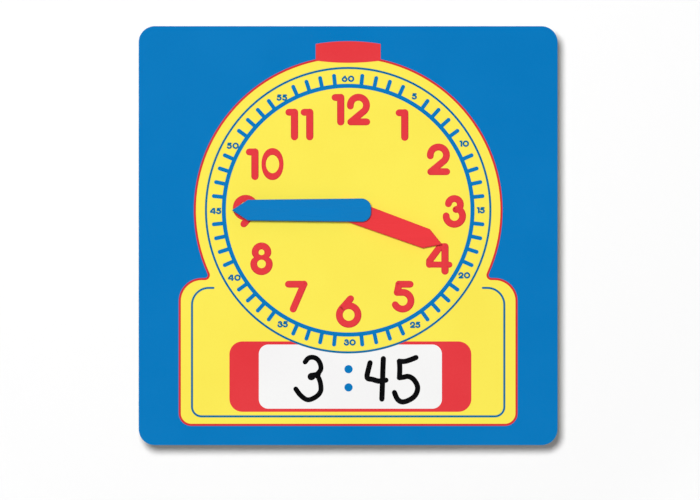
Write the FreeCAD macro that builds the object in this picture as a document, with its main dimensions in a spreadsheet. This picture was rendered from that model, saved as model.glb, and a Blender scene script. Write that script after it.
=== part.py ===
import FreeCAD, Part
import math
import os
import Sketcher

# Geared teaching clock: a square laminated board with a printed dial, two hands on the front
# and a moulded gearbox on the back that turns the hour hand once for twelve turns of the
# minute hand.
# The part stands upright with its dial towards -Y, twelve o'clock towards +Z and three
# o'clock towards +X. Its origin is where the hands' axis meets the gearbox's flat rear face.
# Each piece is drawn flat, as seen from the front, and stacked by its depth from that face.

SIZES = {
    # Board
    "board_side": 114.3,  # four and a half inches square
    "board_corner": 4.4,
    "dial_rise": 6.94,  # the hands' axis above the middle of the board
    "core_thickness": 1.8,
    "sheet_thickness": 0.25,
    "pad_thickness": 0.8,
    "pad_inset": 1.5,
    # Printed clock figure
    "ink_thickness": 0.04,
    "disc_side_inset": 15.03,  # from the board's side edges
    "outline_width": 0.58,
    "foot_side_inset": 10.92,
    "foot_top_drop": 18.5,  # below the hands' axis
    "foot_bottom_inset": 5.24,
    "foot_shoulder": 6.3,
    "foot_corner": 3.45,
    "notch_radius": 0.8,
    "cap_width": 17.7,
    "cap_rise": 3.98,  # above the disc
    "cap_top_bow": 0.75,
    "cap_overlap": 1.92,
    "cap_bottom_bow": 0.6,
    # Printed dial, from its edge inwards. Rings are placed by the middle of their line
    "number_ring_inset": 3.32,
    "number_ring_width": 0.58,
    "tick_tip_inset": 1.43,
    "tick_length": 3.44,
    "tick_width": 1.08,
    "tick_bevel": 0.32,
    "minute_ring_width": 1.12,
    "hour_count": 12,
    "ticks_per_hour": 4,
    # Printed line inside the foot
    "foot_line_width": 0.56,
    "foot_line_side_inset": 3.63,
    "foot_line_top_inset": 2.7,
    "foot_line_bottom_inset": 2.6,
    "foot_line_shoulder": 4.6,
    "foot_line_corner": 2.6,
    "foot_line_top_run": 1.25,  # of each upper end, past the shoulder
    # Writing window
    "window_shift": 0.6,
    "frame_side_inset": 13.23,
    "frame_bottom_inset": 3.85,
    "frame_ring_overlap": 3.29,  # of the frame's height, behind the dial's outer ring
    "frame_corner": 3.55,
    "panel_side_inset": 8.025,
    "panel_edge_inset": 0.85,
    "panel_corner": 2.6,
    "colon_radius": 1.12,
    "colon_pitch": 4.97,
    "colon_sink": 0.45,  # below the middle of the window
    "colon_shift": 0.1,
    # Hands
    "hand_thickness": 1.2,
    "hand_edge_bevel": 0.22,
    "board_to_hour_hand": 0.6,
    "hour_to_minute_hand": 0.35,
    "hub_gap": 0.1,
    "minute_tip_gap": 1.7,  # from the minute ring
    "minute_head": 4.35,
    "minute_tail": 6.26,
    "minute_tail_width": 6.36,
    "minute_shoulder_width": 5.65,
    "minute_tail_corner": 2.6,
    "hour_tip_setback": 4.42,  # from the minute hand's tip
    "hour_head": 4.6,
    "hour_root_width": 6.1,
    "hour_shoulder_width": 5.55,
    "minute_rest": 270.0,  # degrees clockwise from twelve
    "hour_rest": 110.0,
    "hand_boss_wall": 0.7,
    "socket_floor": 0.5,
    # Gear train
    "gear_centres": 16.0,
    "minute_pinion_teeth": 12,
    "idler_wheel_teeth": 36,
    "idler_pinion_teeth": 10,
    "hour_wheel_teeth": 40,
    "pressure_angle": 20.0,
    "backlash": 0.1,
    "first_shift_share": 0.3,  # profile shift of the first pair, in modules
    "second_shift_share": 0.45,
    "first_addendum_share": 1.0,
    "second_addendum_share": 0.9,
    "dedendum_share": 1.25,
    "flank_share": 0.45,
    "gear_width": 2.0,
    "layer_gap": 0.4,
    "running_gap": 0.1,
    "rim_width": 1.6,
    "web_thickness": 1.0,
    "hub_radius": 4.2,
    # Shafts and their fits
    "arbor_radius": 1.2,
    "arbor_collar_wall": 0.8,
    "tube_wall": 0.69,
    "running_fit": 0.06,
    "press_fit": 0.01,
    "flat_depth": 0.3,
    "rear_pivot_radius": 1.0,
    "pivot_depth": 0.9,
    "post_radius": 1.0,
    "post_seat": 0.6,
    "collar_wall": 0.5,
    "collar_fit": 0.1,
    # Washers
    "friction_washer_thickness": 0.5,
    "friction_washer_radius": 3.3,
    "thrust_washer_thickness": 0.3,
    "thrust_washer_radius": 3.75,
    "washer_fit": 0.1,
    # Gearbox
    "housing_wall": 1.4,
    "cover_floor": 1.6,
    "plate_thickness": 1.4,
    "gear_room": 3.0,
    "cover_edge_round": 1.0,
    "lip_height": 0.8,
    "lip_width": 0.8,
    "lip_fit": 0.1,
    "boss_wall": 0.8,
    "idler_boss_wall": 1.5,
    # Cover screws
    "screw_inset": 4.2,
    "screw_radius": 1.0,
    "screw_length": 5.4,
    "screw_head_radius": 1.9,
    "screw_head_height": 1.1,
    "screw_slot_width": 0.5,
    "screw_slot_depth": 0.5,
    "screw_sink": 0.2,
    "screw_hole_fit": 0.1,
    "pillar_bite": 0.3,
    "pillar_split_depth": 4.4,
    # Cuts run this much past a face
    "overrun": 0.5,
}

doc = FreeCAD.newDocument("TeachingClock")
sheet = doc.addObject("Spreadsheet::Sheet", "Sizes")
for row, (alias, number) in enumerate(SIZES.items(), start=1):
    sheet.set(f"A{row}", alias)
    sheet.set(f"B{row}", str(number))
    sheet.setAlias(f"B{row}", alias)
doc.recompute()


# A size that carries its number and the formula that ties it to the sheet.
class Size:
    def __init__(self, number, formula):
        self.number = number
        self.formula = formula

    def __add__(self, other):
        other = as_size(other)
        return Size(self.number + other.number, f"({self.formula} + {other.formula})")

    def __sub__(self, other):
        other = as_size(other)
        return Size(self.number - other.number, f"({self.formula} - {other.formula})")

    def __mul__(self, other):
        other = as_size(other)
        return Size(self.number * other.number, f"({self.formula} * {other.formula})")

    def __truediv__(self, other):
        other = as_size(other)
        return Size(self.number / other.number, f"({self.formula} / {other.formula})")

    def __neg__(self):
        return Size(-self.number, f"(0 - {self.formula})")

    def is_zero(self):
        return self.formula == "0"


def as_size(value):
    return value if isinstance(value, Size) else Size(value, str(value))


def given(alias):
    return Size(sheet.get(alias), f"Sizes.{alias}")


def root(value):
    return Size(math.sqrt(value.number), f"sqrt({value.formula})")


def larger(first, second):
    number = max(first.number, second.number)
    return Size(number, f"max({first.formula}; {second.formula})")


# Angles are in degrees.
def sine(angle):
    return Size(math.sin(math.radians(angle.number)), f"sin({angle.formula})")


def cosine(angle):
    return Size(math.cos(math.radians(angle.number)), f"cos({angle.formula})")


def tangent(angle):
    return Size(math.tan(math.radians(angle.number)), f"tan({angle.formula})")


def arc_cosine(ratio):
    number = math.degrees(math.acos(min(1, ratio.number)))
    return Size(number, f"(acos({ratio.formula}) / 1 deg)")


def in_degrees(radians):
    return Size(math.degrees(radians.number), f"({radians.formula} * 180 / pi)")


ZERO = as_size(0)
HALF_TURN = 180
NEAR = 1e-4  # closer than this is the same place, in millimetres


# Sketches and features.
def new_body(name):
    body = doc.addObject("PartDesign::Body", name)
    body.Label = name
    return body


def origin_feature(body, role):
    return [item for item in body.Origin.OriginFeatures if item.Role == role][0]


# A sketch lies flat at a level of its body, turned clockwise as seen from the front.
def new_sketch(body, name, level=ZERO, turn=ZERO):
    sketch = body.newObject("Sketcher::SketchObject", name)
    sketch.AttachmentSupport = [(origin_feature(body, "XY_Plane"), "")]
    sketch.MapMode = "FlatFace"
    sketch.AttachmentOffset = FreeCAD.Placement(
        FreeCAD.Vector(0, 0, level.number),
        FreeCAD.Rotation(FreeCAD.Vector(0, 0, -1), turn.number),
    )
    if not level.is_zero():
        sketch.setExpression("AttachmentOffset.Base.z", level.formula)
    if not turn.is_zero():
        sketch.setExpression("AttachmentOffset.Rotation.Angle", turn.formula)
    return sketch


def tie(sketch, kind, where, size):
    index = sketch.addConstraint(Sketcher.Constraint(kind, *where, size.number))
    sketch.setExpression(f"Constraints[{index}]", size.formula)


ORIGIN_POINT = (-1, 1)


# Places one point of a shape along an axis. A point at zero lies on the sketch's other axis.
def tie_along(sketch, kind, shape, end, size):
    if size.is_zero():
        other_axis = -2 if kind == "DistanceX" else -1
        sketch.addConstraint(Sketcher.Constraint("PointOnObject", shape, end, other_axis))
    else:
        tie(sketch, kind, (*ORIGIN_POINT, shape, end), size)


def tie_point(sketch, shape, end, x, y):
    tie_along(sketch, "DistanceX", shape, end, x)
    tie_along(sketch, "DistanceY", shape, end, y)


def add_circle(sketch, radius, x=ZERO, y=ZERO):
    centre = FreeCAD.Vector(x.number, y.number, 0)
    up = FreeCAD.Vector(0, 0, 1)
    shape = sketch.addGeometry(Part.Circle(centre, up, radius.number))
    tie_point(sketch, shape, 3, x, y)
    tie(sketch, "Radius", (shape,), radius)


# A closed outline. Each step ends at a corner and is a straight line, or an arc of under a half
# turn about a centre, whose place along one axis ties it.
def add_outline(sketch, steps):
    corners = [FreeCAD.Vector(step["x"].number, step["y"].number, 0) for step in steps]
    links = []
    for index, step in enumerate(steps):
        start = corners[index - 1]
        end = corners[index]
        if "centre" not in step:
            shape = sketch.addGeometry(Part.LineSegment(start, end))
            links.append((shape, 1, 2))
            continue
        centre_x, centre_y = step["centre"]
        centre = FreeCAD.Vector(centre_x.number, centre_y.number, 0)
        first = start - centre
        last = end - centre
        anticlockwise = first.cross(last).z > 0
        ring = Part.Circle(centre, FreeCAD.Vector(0, 0, 1), first.Length)
        angles = [math.atan2(first.y, first.x), math.atan2(last.y, last.x)]
        if not anticlockwise:
            angles.reverse()
        shape = sketch.addGeometry(Part.ArcOfCircle(ring, *angles))
        links.append((shape, 1, 2) if anticlockwise else (shape, 2, 1))
        chord = end - start
        if step.get("radius"):
            tie(sketch, "Radius", (shape,), step["radius"])
        elif abs(chord.y) > abs(chord.x):
            tie_along(sketch, "DistanceX", shape, 3, centre_x)
        else:
            tie_along(sketch, "DistanceY", shape, 3, centre_y)
    for index, step in enumerate(steps):
        shape, _, last_end = links[index]
        following, first_end, _ = links[(index + 1) % len(links)]
        join = Sketcher.Constraint("Coincident", shape, last_end, following, first_end)
        sketch.addConstraint(join)
        tie_point(sketch, shape, last_end, step["x"], step["y"])


def corner(x, y, centre=None, radius=None):
    step = {"x": x, "y": y}
    if centre:
        step["centre"] = centre
    if radius:
        step["radius"] = radius
    return step


# A rounded rectangle, whose upper and lower corners may differ.
def add_rounded_box(sketch, left, right, bottom, top, lower_round, upper_round=None):
    upper_round = upper_round or lower_round
    low = bottom + lower_round
    high = top - upper_round
    add_outline(sketch, [
        corner(left, low),
        corner(left + lower_round, bottom, (left + lower_round, low)),
        corner(right - lower_round, bottom),
        corner(right, low, (right - lower_round, low)),
        corner(right, high),
        corner(right - upper_round, top, (right - upper_round, high)),
        corner(left + upper_round, top),
        corner(left, high, (left + upper_round, high)),
    ])


def add_box(sketch, left, right, bottom, top):
    add_outline(sketch, [
        corner(left, bottom),
        corner(right, bottom),
        corner(right, top),
        corner(left, top),
    ])


# A round bar with two flats: what a hand's socket grips.
def add_flatted_round(sketch, radius, flat):
    side = root(radius * radius - flat * flat)
    add_outline(sketch, [
        corner(-side, flat),
        corner(-radius, ZERO, (ZERO, ZERO)),
        corner(-side, -flat, (ZERO, ZERO)),
        corner(side, -flat),
        corner(radius, ZERO, (ZERO, ZERO)),
        corner(side, flat, (ZERO, ZERO)),
    ])


def extrude(kind, body, sketch, length, reverse):
    before = body.Shape.Volume if body.Tip else 0
    feature = body.newObject(kind, f"{sketch.Name}_{kind.split('::')[1]}")
    feature.Profile = sketch
    feature.Reversed = reverse
    feature.Length = length.number
    feature.setExpression("Length", length.formula)
    body.Tip = feature
    doc.recompute()
    change = body.Shape.Volume - before
    if abs(change) < NEAR or (change > 0) != (kind == "PartDesign::Pad"):
        raise ValueError(f"{body.Label}: {sketch.Name} changed the volume by {change}")
    return feature


def pad(body, sketch, length, reverse=False):
    return extrude("PartDesign::Pad", body, sketch, length, reverse)


def pocket(body, sketch, length, reverse=False):
    return extrude("PartDesign::Pocket", body, sketch, length, reverse)


def polar_step(body, name, count, angle):
    pattern = body.newObject("PartDesign::PolarPattern", name)
    pattern.Axis = (origin_feature(body, "Z_Axis"), [""])
    pattern.Angle = angle.number
    pattern.setExpression("Angle", angle.formula)
    pattern.Occurrences = int(round(count.number))
    pattern.setExpression("Occurrences", count.formula)
    return pattern


def repeat_round(body, feature, name, count):
    pattern = polar_step(body, name, count, as_size(2 * HALF_TURN))
    pattern.Originals = [feature]
    body.Tip = pattern
    doc.recompute()
    return pattern


def dress_edges(kind, size_name, body, edges, name, size):
    solid = body.Tip
    feature = body.newObject(kind, name)
    feature.Base = (solid, edges)
    setattr(feature, size_name, size.number)
    feature.setExpression(size_name, size.formula)
    body.Tip = feature
    doc.recompute()


def round_edges(body, edges, name, radius):
    dress_edges("PartDesign::Fillet", "Radius", body, edges, name, radius)


def bevel_edges(body, edges, name, size):
    dress_edges("PartDesign::Chamfer", "Size", body, edges, name, size)


def flat_face_names(body, level):
    names = []
    for index, face in enumerate(body.Tip.Shape.Faces, start=1):
        low = face.BoundBox.ZMin
        high = face.BoundBox.ZMax
        if high - low < NEAR and abs(high - level.number) < NEAR:
            names.append(f"Face{index}")
    return names


# Stacks a piece on the hands' axis, or on another one, at its depth from the rear face.
def stack(body, depth, turn=ZERO, drop=ZERO):
    upright = FreeCAD.Rotation(FreeCAD.Vector(1, 0, 0), 90)
    turned = FreeCAD.Rotation(FreeCAD.Vector(0, 0, -1), turn.number)
    place = FreeCAD.Vector(0, -depth.number, -drop.number)
    body.Placement = FreeCAD.Placement(place, upright * turned)
    body.setExpression("Placement.Base.y", (-depth).formula)
    body.setExpression("Placement.Base.z", (-drop).formula)


# Layers of ink, from the face sheet outwards.
INK_LAYERS = ["outline", "clock", "dial", "panel", "colon"]


# Where each layer of the stack begins, as a depth from the gearbox's rear face.
class Depth:
    washer = given("cover_floor")
    rear_gears = washer + given("friction_washer_thickness") + given("running_gap")
    front_gears = rear_gears + given("gear_width") + given("layer_gap")
    thrust = front_gears + given("gear_width") + given("running_gap")
    plate = thrust + given("thrust_washer_thickness")
    pad = plate + given("plate_thickness")
    back_sheet = pad + given("pad_thickness")
    core = back_sheet + given("sheet_thickness")
    face_sheet = core + given("core_thickness")
    face = face_sheet + given("sheet_thickness")
    hour_hand = face + given("board_to_hour_hand")
    minute_hand = hour_hand + given("hand_thickness") + given("hour_to_minute_hand")

    @classmethod
    def ink(cls, layer):
        return cls.face + given("ink_thickness") * INK_LAYERS.index(layer)


# Sizes of one gear, worked out from its pair.
class Gear:
    def __init__(self, teeth, mate_teeth, shift, addendum):
        self.teeth = given(teeth)
        self.module = given("gear_centres") * 2 / (self.teeth + given(mate_teeth))
        self.pitch = self.module * self.teeth / 2
        self.base = self.pitch * cosine(given("pressure_angle"))
        self.tip = self.pitch + self.module * (given(addendum) + shift)
        self.foot = self.pitch - self.module * (given("dedendum_share") - shift)
        self.shift = shift

    def involute(self, angle):
        return in_degrees(tangent(angle)) - angle

    # Half of the tooth's angle at a radius, between the base circle and the tip.
    def half_tooth(self, radius):
        lean = tangent(given("pressure_angle"))
        width = self.module * (Size(math.pi, "pi") / 2 + self.shift * 2 * lean)
        width = width - given("backlash") / 2
        at_pitch = in_degrees(width / (self.pitch * 2)) + self.involute(given("pressure_angle"))
        return at_pitch - self.involute(arc_cosine(self.base / radius))


FIRST_SHIFT = given("first_shift_share")
SECOND_SHIFT = given("second_shift_share")
FIRST_ADDENDUM = "first_addendum_share"
SECOND_ADDENDUM = "second_addendum_share"
minute_pinion = Gear("minute_pinion_teeth", "idler_wheel_teeth", FIRST_SHIFT, FIRST_ADDENDUM)
idler_wheel = Gear("idler_wheel_teeth", "minute_pinion_teeth", -FIRST_SHIFT, FIRST_ADDENDUM)
idler_pinion = Gear("idler_pinion_teeth", "hour_wheel_teeth", SECOND_SHIFT, SECOND_ADDENDUM)
hour_gear = Gear("hour_wheel_teeth", "idler_pinion_teeth", -SECOND_SHIFT, SECOND_ADDENDUM)


# One tooth points up the sketch. Its flanks are arcs with the involute's own curvature part of
# the way up, and below the base circle they run straight to the centre.
def add_tooth(sketch, gear):
    start = larger(gear.base, gear.foot)
    inside = gear.foot - given("overrun")
    middle = start + (gear.tip - start) * given("flank_share")
    bend = root(middle * middle - gear.base * gear.base)
    at_start = gear.half_tooth(start)
    at_tip = gear.half_tooth(gear.tip)
    right = {
        "in": (inside * sine(at_start), inside * cosine(at_start)),
        "start": (start * sine(at_start), start * cosine(at_start)),
        "tip": (gear.tip * sine(at_tip), gear.tip * cosine(at_tip)),
    }
    left = {name: (-x, y) for name, (x, y) in right.items()}
    add_outline(sketch, [
        corner(*left["in"]),
        corner(*right["in"]),
        corner(*right["start"]),
        corner(*right["tip"], arc_centre(right["start"], right["tip"], bend), bend),
        corner(*left["tip"], (ZERO, ZERO)),
        corner(*left["start"], arc_centre(left["start"], left["tip"], bend), bend),
    ])


# The centre, on the tooth's own side, of an arc that bulges away from the tooth's middle.
def arc_centre(start, end, radius):
    span_x = end[0].number - start[0].number
    span_y = end[1].number - start[1].number
    chord = math.hypot(span_x, span_y)
    reach = math.sqrt(max(0, radius.number ** 2 - (chord / 2) ** 2))
    side = -1 if start[0].number > 0 else 1
    x = (start[0].number + end[0].number) / 2 + side * reach * span_y / chord
    y = (start[1].number + end[1].number) / 2 - side * reach * span_x / chord
    return as_size(x), as_size(y)


# A ring of teeth on a round blank that is already there.
def add_teeth(body, name, gear, level, width, turn=ZERO):
    tooth = new_sketch(body, f"{name}_tooth", level, turn)
    add_tooth(tooth, gear)
    repeat_round(body, pad(body, tooth, width), f"{name}_teeth", gear.teeth)


# Half the angle from one tooth to the next. The gears mesh along the line between their axes,
# with a tooth of each pinion there and a space of each wheel.
def half_pitch(gear):
    return as_size(HALF_TURN) / gear.teeth


TUBE_RADIUS = given("arbor_radius") + given("running_fit") + given("tube_wall")
COLLAR_BORE = TUBE_RADIUS + given("running_fit")
COLLAR_RADIUS = COLLAR_BORE + given("collar_wall")
BOARD_HOLE = COLLAR_RADIUS + given("collar_fit")
SOCKET_DEPTH = given("hand_thickness") - given("socket_floor")

# The printed figure follows the board's edges, and what it holds follows the figure.
BOARD_HALF = given("board_side") / 2
DISC_RADIUS = BOARD_HALF - given("disc_side_inset")
NUMBER_RING_RADIUS = DISC_RADIUS - given("number_ring_inset")
NUMBER_RING_EDGE = NUMBER_RING_RADIUS + given("number_ring_width") / 2
TICK_TIP_RADIUS = NUMBER_RING_RADIUS - given("tick_tip_inset")
MINUTE_RING_RADIUS = TICK_TIP_RADIUS - given("tick_length")
FOOT_HALF_WIDTH = BOARD_HALF - given("foot_side_inset")
FOOT_BOTTOM_DROP = BOARD_HALF + given("dial_rise") - given("foot_bottom_inset")
FRAME_WIDTH = (FOOT_HALF_WIDTH - given("frame_side_inset")) * 2
FRAME_TOP_DROP = NUMBER_RING_EDGE - given("frame_ring_overlap")
FRAME_HEIGHT = FOOT_BOTTOM_DROP - given("frame_bottom_inset") - FRAME_TOP_DROP
WINDOW_DROP = FRAME_TOP_DROP + FRAME_HEIGHT / 2
PANEL_WIDTH = FRAME_WIDTH - given("panel_side_inset") * 2
PANEL_HEIGHT = FRAME_HEIGHT - given("panel_edge_inset") * 2
MINUTE_REACH = MINUTE_RING_RADIUS - given("minute_ring_width") / 2 - given("minute_tip_gap")
HOUR_REACH = MINUTE_REACH - given("hour_tip_setback")


# Board
def make_board_sheet(name, depth, thickness):
    body = new_body(name)
    outline = new_sketch(body, f"{name}_outline")
    middle = -given("dial_rise")
    low = middle - BOARD_HALF
    high = middle + BOARD_HALF
    add_rounded_box(outline, -BOARD_HALF, BOARD_HALF, low, high, given("board_corner"))
    add_circle(outline, BOARD_HOLE)
    pad(body, outline, thickness)
    stack(body, depth)
    return body


# Printed clock figure: a disc that rises out of a rounded foot, with rounded notches.
def make_clock_figure(name, inset, layer):
    body = new_body(name)
    disc = new_sketch(body, f"{name}_disc")
    reach = DISC_RADIUS - inset
    add_circle(disc, reach)
    pad(body, disc, given("ink_thickness"))
    foot = new_sketch(body, f"{name}_foot")
    half = FOOT_HALF_WIDTH - inset
    bottom = inset - FOOT_BOTTOM_DROP
    top = -given("foot_top_drop") - inset
    lower_round = given("foot_corner") - inset
    upper_round = given("foot_shoulder") - inset
    add_rounded_box(foot, -half, half, bottom, top, lower_round, upper_round)
    pad(body, foot, given("ink_thickness"))
    notches = []
    for index, edge in enumerate(body.Tip.Shape.Edges, start=1):
        box = edge.BoundBox
        upright = box.XLength < NEAR and box.YLength < NEAR
        on_disc = abs(math.hypot(box.XMin, box.YMin) - reach.number) < NEAR
        if upright and on_disc and box.YMin < top.number / 2:
            notches.append(f"Edge{index}")
    round_edges(body, notches, f"{name}_notches", given("notch_radius") + inset)
    hole = new_sketch(body, f"{name}_hole")
    add_circle(hole, BOARD_HOLE)
    pocket(body, hole, given("ink_thickness"), reverse=True)
    stack(body, Depth.ink(layer))
    return body


def bow_centre(half_width, bow, peak):
    radius = (half_width * half_width + bow * bow) / (bow * 2)
    return peak - radius


# The cap covers the disc's top and lies on the face beyond it.
def make_cap_print():
    body = new_body("cap_print")
    outline = new_sketch(body, "cap_outline")
    half = given("cap_width") / 2
    top = DISC_RADIUS + given("cap_rise")
    top_side = top - given("cap_top_bow")
    bottom = DISC_RADIUS - given("cap_overlap")
    bottom_side = bottom + given("cap_bottom_bow")
    top_centre = bow_centre(half, given("cap_top_bow"), top)
    bottom_centre = -bow_centre(half, given("cap_bottom_bow"), -bottom)
    add_outline(outline, [
        corner(-half, bottom_side),
        corner(half, bottom_side, (ZERO, bottom_centre)),
        corner(half, top_side),
        corner(-half, top_side, (ZERO, top_centre)),
    ])
    pad(body, outline, Depth.ink("panel") - Depth.face)
    disc = new_sketch(body, "cap_over_disc")
    add_circle(disc, DISC_RADIUS)
    pocket(body, disc, Depth.ink("dial") - Depth.face, reverse=True)
    stack(body, Depth.face)
    return body


def make_minute_ring_print():
    body = new_body("minute_ring_print")
    ring = new_sketch(body, "minute_ring")
    add_circle(ring, MINUTE_RING_RADIUS + given("minute_ring_width") / 2)
    add_circle(ring, MINUTE_RING_RADIUS - given("minute_ring_width") / 2)
    pad(body, ring, given("ink_thickness"))
    one_minute = as_size(2 * HALF_TURN) / (given("hour_count") * (given("ticks_per_hour") + 1))
    tick = new_sketch(body, "minute_tick", turn=one_minute)
    half = given("tick_width") / 2
    bevel = given("tick_bevel")
    bevel_start = TICK_TIP_RADIUS - bevel
    add_outline(tick, [
        corner(-half, MINUTE_RING_RADIUS),
        corner(half, MINUTE_RING_RADIUS),
        corner(half, bevel_start),
        corner(half - bevel, TICK_TIP_RADIUS),
        corner(bevel - half, TICK_TIP_RADIUS),
        corner(-half, bevel_start),
    ])
    tick_pad = pad(body, tick, given("ink_thickness"))
    group = body.newObject("PartDesign::MultiTransform", "all_ticks")
    group.Originals = [tick_pad]
    span = one_minute * (given("ticks_per_hour") - 1)
    within = polar_step(body, "ticks_in_an_hour", given("ticks_per_hour"), span)
    within.Reversed = True
    around = polar_step(body, "ticks_round_the_dial", given("hour_count"), as_size(2 * HALF_TURN))
    group.Transformations = [within, around]
    body.Tip = group
    doc.recompute()
    stack(body, Depth.ink("dial"))
    return body


def make_number_ring_print():
    body = new_body("number_ring_print")
    ring = new_sketch(body, "number_ring")
    add_circle(ring, NUMBER_RING_EDGE)
    add_circle(ring, NUMBER_RING_EDGE - given("number_ring_width"))
    pad(body, ring, given("ink_thickness"))
    stack(body, Depth.ink("dial"))
    return body


# A line that follows the foot's edge and stops short of the disc on both sides.
def make_foot_line_print():
    body = new_body("foot_line_print")
    band = new_sketch(body, "foot_line")
    half_line = given("foot_line_width") / 2
    level = -given("foot_top_drop") - given("foot_line_top_inset")
    for offset in (half_line, -half_line):
        half = FOOT_HALF_WIDTH - given("foot_line_side_inset") + offset
        bottom = given("foot_line_bottom_inset") - FOOT_BOTTOM_DROP - offset
        top = level + offset
        lower_round = given("foot_line_corner") + offset
        upper_round = given("foot_line_shoulder") + offset
        add_rounded_box(band, -half, half, bottom, top, lower_round, upper_round)
    pad(body, band, given("ink_thickness"))
    gap = new_sketch(body, "foot_line_gap")
    shoulder_end = FOOT_HALF_WIDTH - given("foot_line_side_inset") - given("foot_line_shoulder")
    end = shoulder_end - given("foot_line_top_run")
    add_box(gap, -end, end, level - given("foot_line_width"), level + given("foot_line_width"))
    pocket(body, gap, given("ink_thickness"), reverse=True)
    ends = new_sketch(body, "foot_line_ends")
    add_circle(ends, half_line, -end, level)
    add_circle(ends, half_line, end, level)
    pad(body, ends, given("ink_thickness"))
    stack(body, Depth.ink("dial"))
    return body


# The window's frame and its white panel pass behind the dial's disc.
def make_window_print(name, width, height, round_radius, layer):
    body = new_body(name)
    outline = new_sketch(body, f"{name}_outline")
    left = given("window_shift") - width / 2
    right = given("window_shift") + width / 2
    bottom = -WINDOW_DROP - height / 2
    add_rounded_box(outline, left, right, bottom, bottom + height, round_radius)
    pad(body, outline, given("ink_thickness"))
    disc = new_sketch(body, f"{name}_disc")
    add_circle(disc, NUMBER_RING_EDGE)
    pocket(body, disc, given("ink_thickness"), reverse=True)
    stack(body, Depth.ink(layer))
    return body


def make_colon_print():
    body = new_body("colon_print")
    dots = new_sketch(body, "colon_dots")
    for way in (-1, 1):
        rise = given("colon_pitch") / 2 * way - WINDOW_DROP - given("colon_sink")
        add_circle(dots, given("colon_radius"), given("colon_shift"), rise)
    pad(body, dots, given("ink_thickness"))
    stack(body, Depth.ink("colon"))
    return body


# Gearbox
class Housing:
    half = hour_gear.tip + given("gear_room") + given("housing_wall")
    top = half
    bottom = -(given("gear_centres") + idler_wheel.tip + given("gear_room") + given("housing_wall"))
    corner_round = given("screw_inset")

    @classmethod
    def add_outline(cls, sketch, inset=ZERO):
        half = cls.half - inset
        bottom = cls.bottom + inset
        top = cls.top - inset
        add_rounded_box(sketch, -half, half, bottom, top, cls.corner_round - inset)

    # Circles about the four screws.
    @classmethod
    def add_screw_circles(cls, sketch, radius):
        side = cls.half - given("screw_inset")
        for x in (-side, side):
            for y in (cls.bottom + given("screw_inset"), cls.top - given("screw_inset")):
                add_circle(sketch, radius, x, y)


IDLER_DROP = given("gear_centres")
SCREW_SEAT = given("screw_sink") + given("screw_head_height")


def make_gearbox_cover():
    body = new_body("gearbox_cover")
    outline = new_sketch(body, "cover_outline")
    Housing.add_outline(outline)
    pad(body, outline, Depth.plate)
    round_edges(body, flat_face_names(body, ZERO), "cover_edge", given("cover_edge_round"))
    inside = new_sketch(body, "cover_inside", Depth.plate)
    Housing.add_outline(inside, given("housing_wall"))
    pocket(body, inside, Depth.plate - given("cover_floor"))
    pillars = new_sketch(body, "cover_pillars", SCREW_SEAT)
    pillar_radius = Housing.corner_round - given("housing_wall") + given("pillar_bite")
    Housing.add_screw_circles(pillars, pillar_radius)
    pad(body, pillars, given("pillar_split_depth") - SCREW_SEAT)
    bosses = new_sketch(body, "cover_bosses", given("cover_floor"))
    pivot_bore = given("rear_pivot_radius") + given("running_fit")
    post_bore = given("post_radius") + given("press_fit")
    add_circle(bosses, pivot_bore + given("boss_wall"))
    add_circle(bosses, post_bore + given("idler_boss_wall"), ZERO, -IDLER_DROP)
    pad(body, bosses, given("friction_washer_thickness"))
    boss_top = given("cover_floor") + given("friction_washer_thickness")
    bores = new_sketch(body, "cover_pivot_bore", boss_top)
    add_circle(bores, pivot_bore)
    pocket(body, bores, given("pivot_depth") + given("hub_gap"))
    post_seat = new_sketch(body, "cover_post_seat", boss_top)
    add_circle(post_seat, post_bore, ZERO, -IDLER_DROP)
    pocket(body, post_seat, given("post_seat") + given("hub_gap"))
    holes = new_sketch(body, "cover_screw_holes")
    Housing.add_screw_circles(holes, given("screw_radius") + given("screw_hole_fit"))
    pocket(body, holes, given("pillar_split_depth") + given("overrun"), reverse=True)
    sinks = new_sketch(body, "cover_screw_sinks")
    Housing.add_screw_circles(sinks, given("screw_head_radius") + given("screw_hole_fit"))
    pocket(body, sinks, SCREW_SEAT, reverse=True)
    stack(body, ZERO)
    return body


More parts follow.
